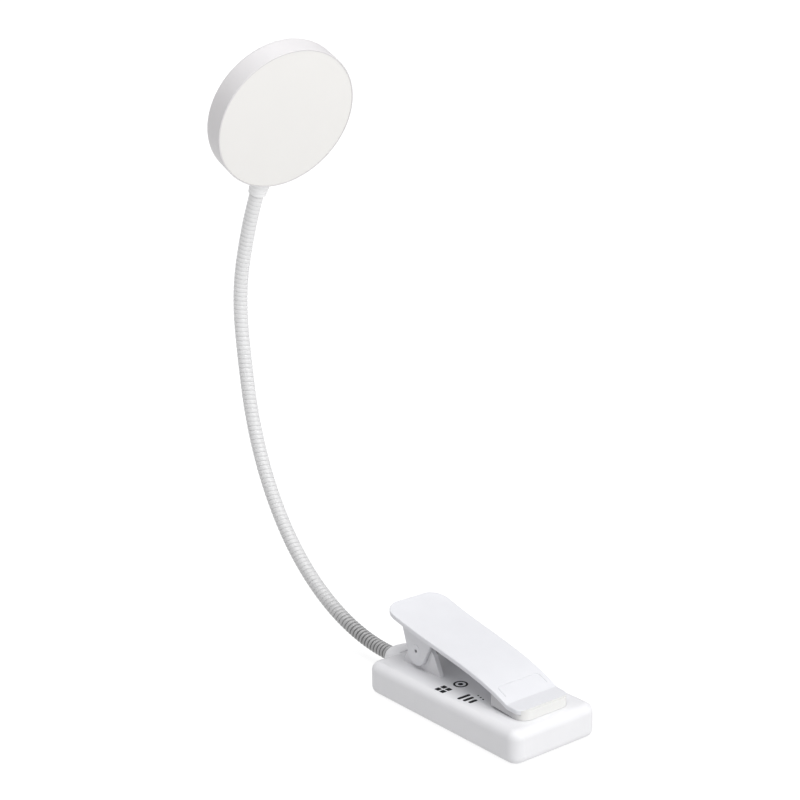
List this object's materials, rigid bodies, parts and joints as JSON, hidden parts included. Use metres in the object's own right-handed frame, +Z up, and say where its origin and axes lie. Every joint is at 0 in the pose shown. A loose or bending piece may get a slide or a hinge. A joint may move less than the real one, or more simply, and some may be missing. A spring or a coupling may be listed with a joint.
{
  "type": "clip-on reading lamp",
  "caption": "Clip-on reading lamp: flat battery base with a sprung clip lever, gooseneck and a round diffused light head",
  "frame": {"origin": "centre of the soft pad's underside, on which the base stands", "axes": "+X towards the clip's jaw, -X towards the neck and head, +Y the side with the button and charging socket, +Z up"},
  "size_m": [0.1978, 0.0614, 0.2438],
  "materials": {
    "white_housing": "satin",
    "soft_jaw": "matte",
    "base_pad": "matte",
    "plated_steel": "satin",
    "ballast_steel": "satin",
    "spring_steel": "polished",
    "brass": "satin",
    "battery_foil": "satin",
    "circuit_board": "satin",
    "black_plastic": "satin",
    "light_pipe": "gloss",
    "lead_sleeve": "satin",
    "painted_neck": "satin",
    "opal_diffuser": "satin",
    "led_board_white": "matte"
  },
  "bodies": {
    "base": {"base_housing": "white_housing", "base_cover": "white_housing", "base_pad": "base_pad", "base_screw_1": "plated_steel", "base_screw_2": "plated_steel", "base_screw_3": "plated_steel", "base_screw_4": "plated_steel", "ballast_plate": "ballast_steel", "battery_cell": "battery_foil", "battery_lead": "lead_sleeve", "base_lead": "lead_sleeve", "control_board": "circuit_board", "usb_c_socket": "plated_steel", "tact_switch": "black_plastic", "charge_light_pipe": "light_pipe", "neck_root_fitting": "brass", "neck_nut": "brass", "hinge_pin": "plated_steel", "torsion_spring": "spring_steel", "neck_segment_01": "painted_neck", "neck_wire_01": "lead_sleeve"},
    "clip": {"clip_lever": "white_housing", "jaw_pad": "soft_jaw"},
    "button": {"power_button": "white_housing"},
    "neck_02": {"neck_segment_02": "painted_neck", "neck_wire_02": "lead_sleeve"},
    "neck_03": {"neck_segment_03": "painted_neck", "neck_wire_03": "lead_sleeve"},
    "neck_04": {"neck_segment_04": "painted_neck", "neck_wire_04": "lead_sleeve"},
    "neck_05": {"neck_segment_05": "painted_neck", "neck_wire_05": "lead_sleeve"},
    "neck_06": {"neck_segment_06": "painted_neck", "neck_wire_06": "lead_sleeve"},
    "neck_07": {"neck_segment_07": "painted_neck", "neck_wire_07": "lead_sleeve"},
    "neck_08": {"neck_segment_08": "painted_neck", "neck_wire_08": "lead_sleeve"},
    "neck_09": {"neck_segment_09": "painted_neck", "neck_wire_09": "lead_sleeve"},
    "neck_10": {"neck_segment_10": "painted_neck", "neck_wire_10": "lead_sleeve"},
    "neck_11": {"neck_segment_11": "painted_neck", "neck_wire_11": "lead_sleeve"},
    "head": {"neck_segment_12": "painted_neck", "neck_wire_12": "lead_sleeve", "neck_top_fitting": "plated_steel", "neck_clamp": "white_housing", "head_collar": "white_housing", "head_shell": "white_housing", "diffuser": "opal_diffuser", "led_board": "led_board_white", "head_lead": "lead_sleeve", "head_screw_1": "plated_steel", "head_screw_2": "plated_steel", "head_screw_3": "plated_steel"}
  },
  "joints": [
    {"name": "clip_hinge", "type": "hinge", "parent": "base", "child": "clip", "pos_m": [-0.0232, 0, 0.0204], "axis": [0, -1, 0], "range_deg": [0, 40], "stiffness_Nm_per_rad": 0.17, "springref_deg": -60.16, "deforming": ["torsion_spring"]},
    {"name": "power_press", "type": "slide", "parent": "base", "child": "button", "axis": [0, -1, 0], "range_m": [0, 0.0006], "stiffness_N_per_m": 1500, "springref_m": -0.0008},
    {"name": "neck_lower_bend", "type": "hinge", "parent": "base", "child": "neck_02", "pos_m": [-0.07239, 0, 0.00873], "axis": [0, 1, 0], "range_deg": [-12, 16]},
    {"name": "neck_lower_side", "type": "hinge", "parent": "neck_02", "child": "neck_03", "pos_m": [-0.0904, 0, 0.01445], "axis": [0.3993, 0, 0.9168], "range_deg": [-16, 16]},
    {"name": "neck_bend_03", "type": "hinge", "parent": "neck_03", "child": "neck_04", "pos_m": [-0.10685, 0, 0.02374], "axis": [0, 1, 0], "range_deg": [-12, 16]},
    {"name": "neck_side_04", "type": "hinge", "parent": "neck_04", "child": "neck_05", "pos_m": [-0.12107, 0, 0.03618], "axis": [0.7306, 0, 0.6828], "range_deg": [-16, 16]},
    {"name": "neck_bend_05", "type": "hinge", "parent": "neck_05", "child": "neck_06", "pos_m": [-0.13258, 0, 0.05117], "axis": [0, 1, 0], "range_deg": [-12, 16]},
    {"name": "neck_upper_side", "type": "hinge", "parent": "neck_06", "child": "neck_07", "pos_m": [-0.14133, 0, 0.06792], "axis": [0.9225, 0, 0.3859], "range_deg": [-15, 15]},
    {"name": "neck_upper_bend", "type": "hinge", "parent": "neck_07", "child": "neck_08", "pos_m": [-0.14725, 0, 0.08588], "axis": [0, 1, 0], "range_deg": [-16, 16]},
    {"name": "neck_side_08", "type": "hinge", "parent": "neck_08", "child": "neck_09", "pos_m": [-0.15057, 0, 0.1045], "axis": [0.9909, 0, 0.1346], "range_deg": [-15, 15]},
    {"name": "neck_bend_09", "type": "hinge", "parent": "neck_09", "child": "neck_10", "pos_m": [-0.15257, 0, 0.12331], "axis": [0, 1, 0], "range_deg": [-16, 16]},
    {"name": "neck_side_10", "type": "hinge", "parent": "neck_10", "child": "neck_11", "pos_m": [-0.15161, 0, 0.14216], "axis": [-0.9842, 0, 0.1771], "range_deg": [-15, 15]},
    {"name": "neck_bend_11", "type": "hinge", "parent": "neck_11", "child": "head", "pos_m": [-0.14625, 0, 0.16028], "axis": [0, 1, 0], "range_deg": [-16, 16]}
  ],
  "couplings": [
    {"joint": "neck_bend_03", "follows": "neck_lower_bend", "ratio": 1},
    {"joint": "neck_side_04", "follows": "neck_lower_side", "ratio": 1},
    {"joint": "neck_bend_05", "follows": "neck_lower_bend", "ratio": 1},
    {"joint": "neck_side_08", "follows": "neck_upper_side", "ratio": 1},
    {"joint": "neck_bend_09", "follows": "neck_upper_bend", "ratio": 1},
    {"joint": "neck_side_10", "follows": "neck_upper_side", "ratio": 1},
    {"joint": "neck_bend_11", "follows": "neck_upper_bend", "ratio": 1}
  ]
}
